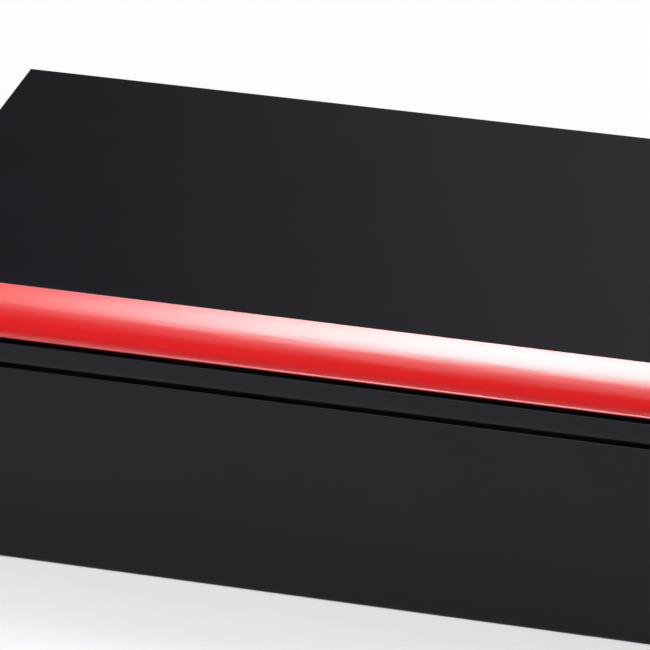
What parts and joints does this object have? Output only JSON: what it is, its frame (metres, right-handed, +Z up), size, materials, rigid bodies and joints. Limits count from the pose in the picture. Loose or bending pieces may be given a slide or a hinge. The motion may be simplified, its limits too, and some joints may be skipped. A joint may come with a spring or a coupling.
{
  "type": "stacking bento box",
  "caption": "Rectangular black lacquered box with a hanging upper tray and a flat lid whose long edges are curved vermilion mouldings.",
  "frame": {"origin": "on the table, under the middle of the box", "axes": "+X along the length to the right, +Y from the front to the back, +Z up"},
  "size_m": [0.24, 0.16, 0.086],
  "materials": {
    "black_lacquer": "satin black lacquer over thin wooden board",
    "vermilion_band_lacquer": "glossy vermilion lacquer over a wooden moulding",
    "black_and_vermilion_lacquer": "satin lacquer over thin wooden board, black outside and vermilion inside",
    "vermilion_inside_lacquer": "satin vermilion lacquer over thin wooden board"
  },
  "bodies": {
    "lower_box": {"box_wall_front": "black_and_vermilion_lacquer", "box_wall_back": "black_and_vermilion_lacquer", "box_wall_left": "black_and_vermilion_lacquer", "box_wall_right": "black_and_vermilion_lacquer", "box_floor": "black_and_vermilion_lacquer"},
    "lower_divider": {"box_divider": "vermilion_inside_lacquer"},
    "upper_tray": {"tray_rim_front": "black_lacquer", "tray_rim_back": "black_lacquer", "tray_rim_left": "black_lacquer", "tray_rim_right": "black_lacquer", "tray_wall_front": "black_and_vermilion_lacquer", "tray_wall_back": "black_and_vermilion_lacquer", "tray_wall_left": "black_and_vermilion_lacquer", "tray_wall_right": "black_and_vermilion_lacquer", "tray_floor": "black_and_vermilion_lacquer"},
    "long_divider": {"tray_long_divider": "vermilion_inside_lacquer"},
    "cross_divider": {"tray_cross_divider": "vermilion_inside_lacquer"},
    "lid": {"lid_panel": "black_lacquer", "lid_edge_front": "vermilion_band_lacquer", "lid_edge_back": "vermilion_band_lacquer", "lid_end_left": "black_lacquer", "lid_end_right": "black_lacquer"}
  },
  "joints": [
    {"name": "lower_divider_lift", "type": "slide", "parent": "lower_box", "child": "lower_divider", "axis": [0, 0, 1], "range_m": [0, 0.07]},
    {"name": "tray_lift", "type": "slide", "parent": "lower_divider", "child": "upper_tray", "axis": [0, 0, 1], "range_m": [0, 0.06]},
    {"name": "long_divider_lift", "type": "slide", "parent": "upper_tray", "child": "long_divider", "axis": [0, 0, 1], "range_m": [0, 0.045]},
    {"name": "cross_divider_lift", "type": "slide", "parent": "long_divider", "child": "cross_divider", "axis": [0, 0, 1], "range_m": [0, 0.035]},
    {"name": "lid_lift", "type": "slide", "parent": "cross_divider", "child": "lid", "axis": [0, 0, 1], "range_m": [0, 0.06]}
  ]
}
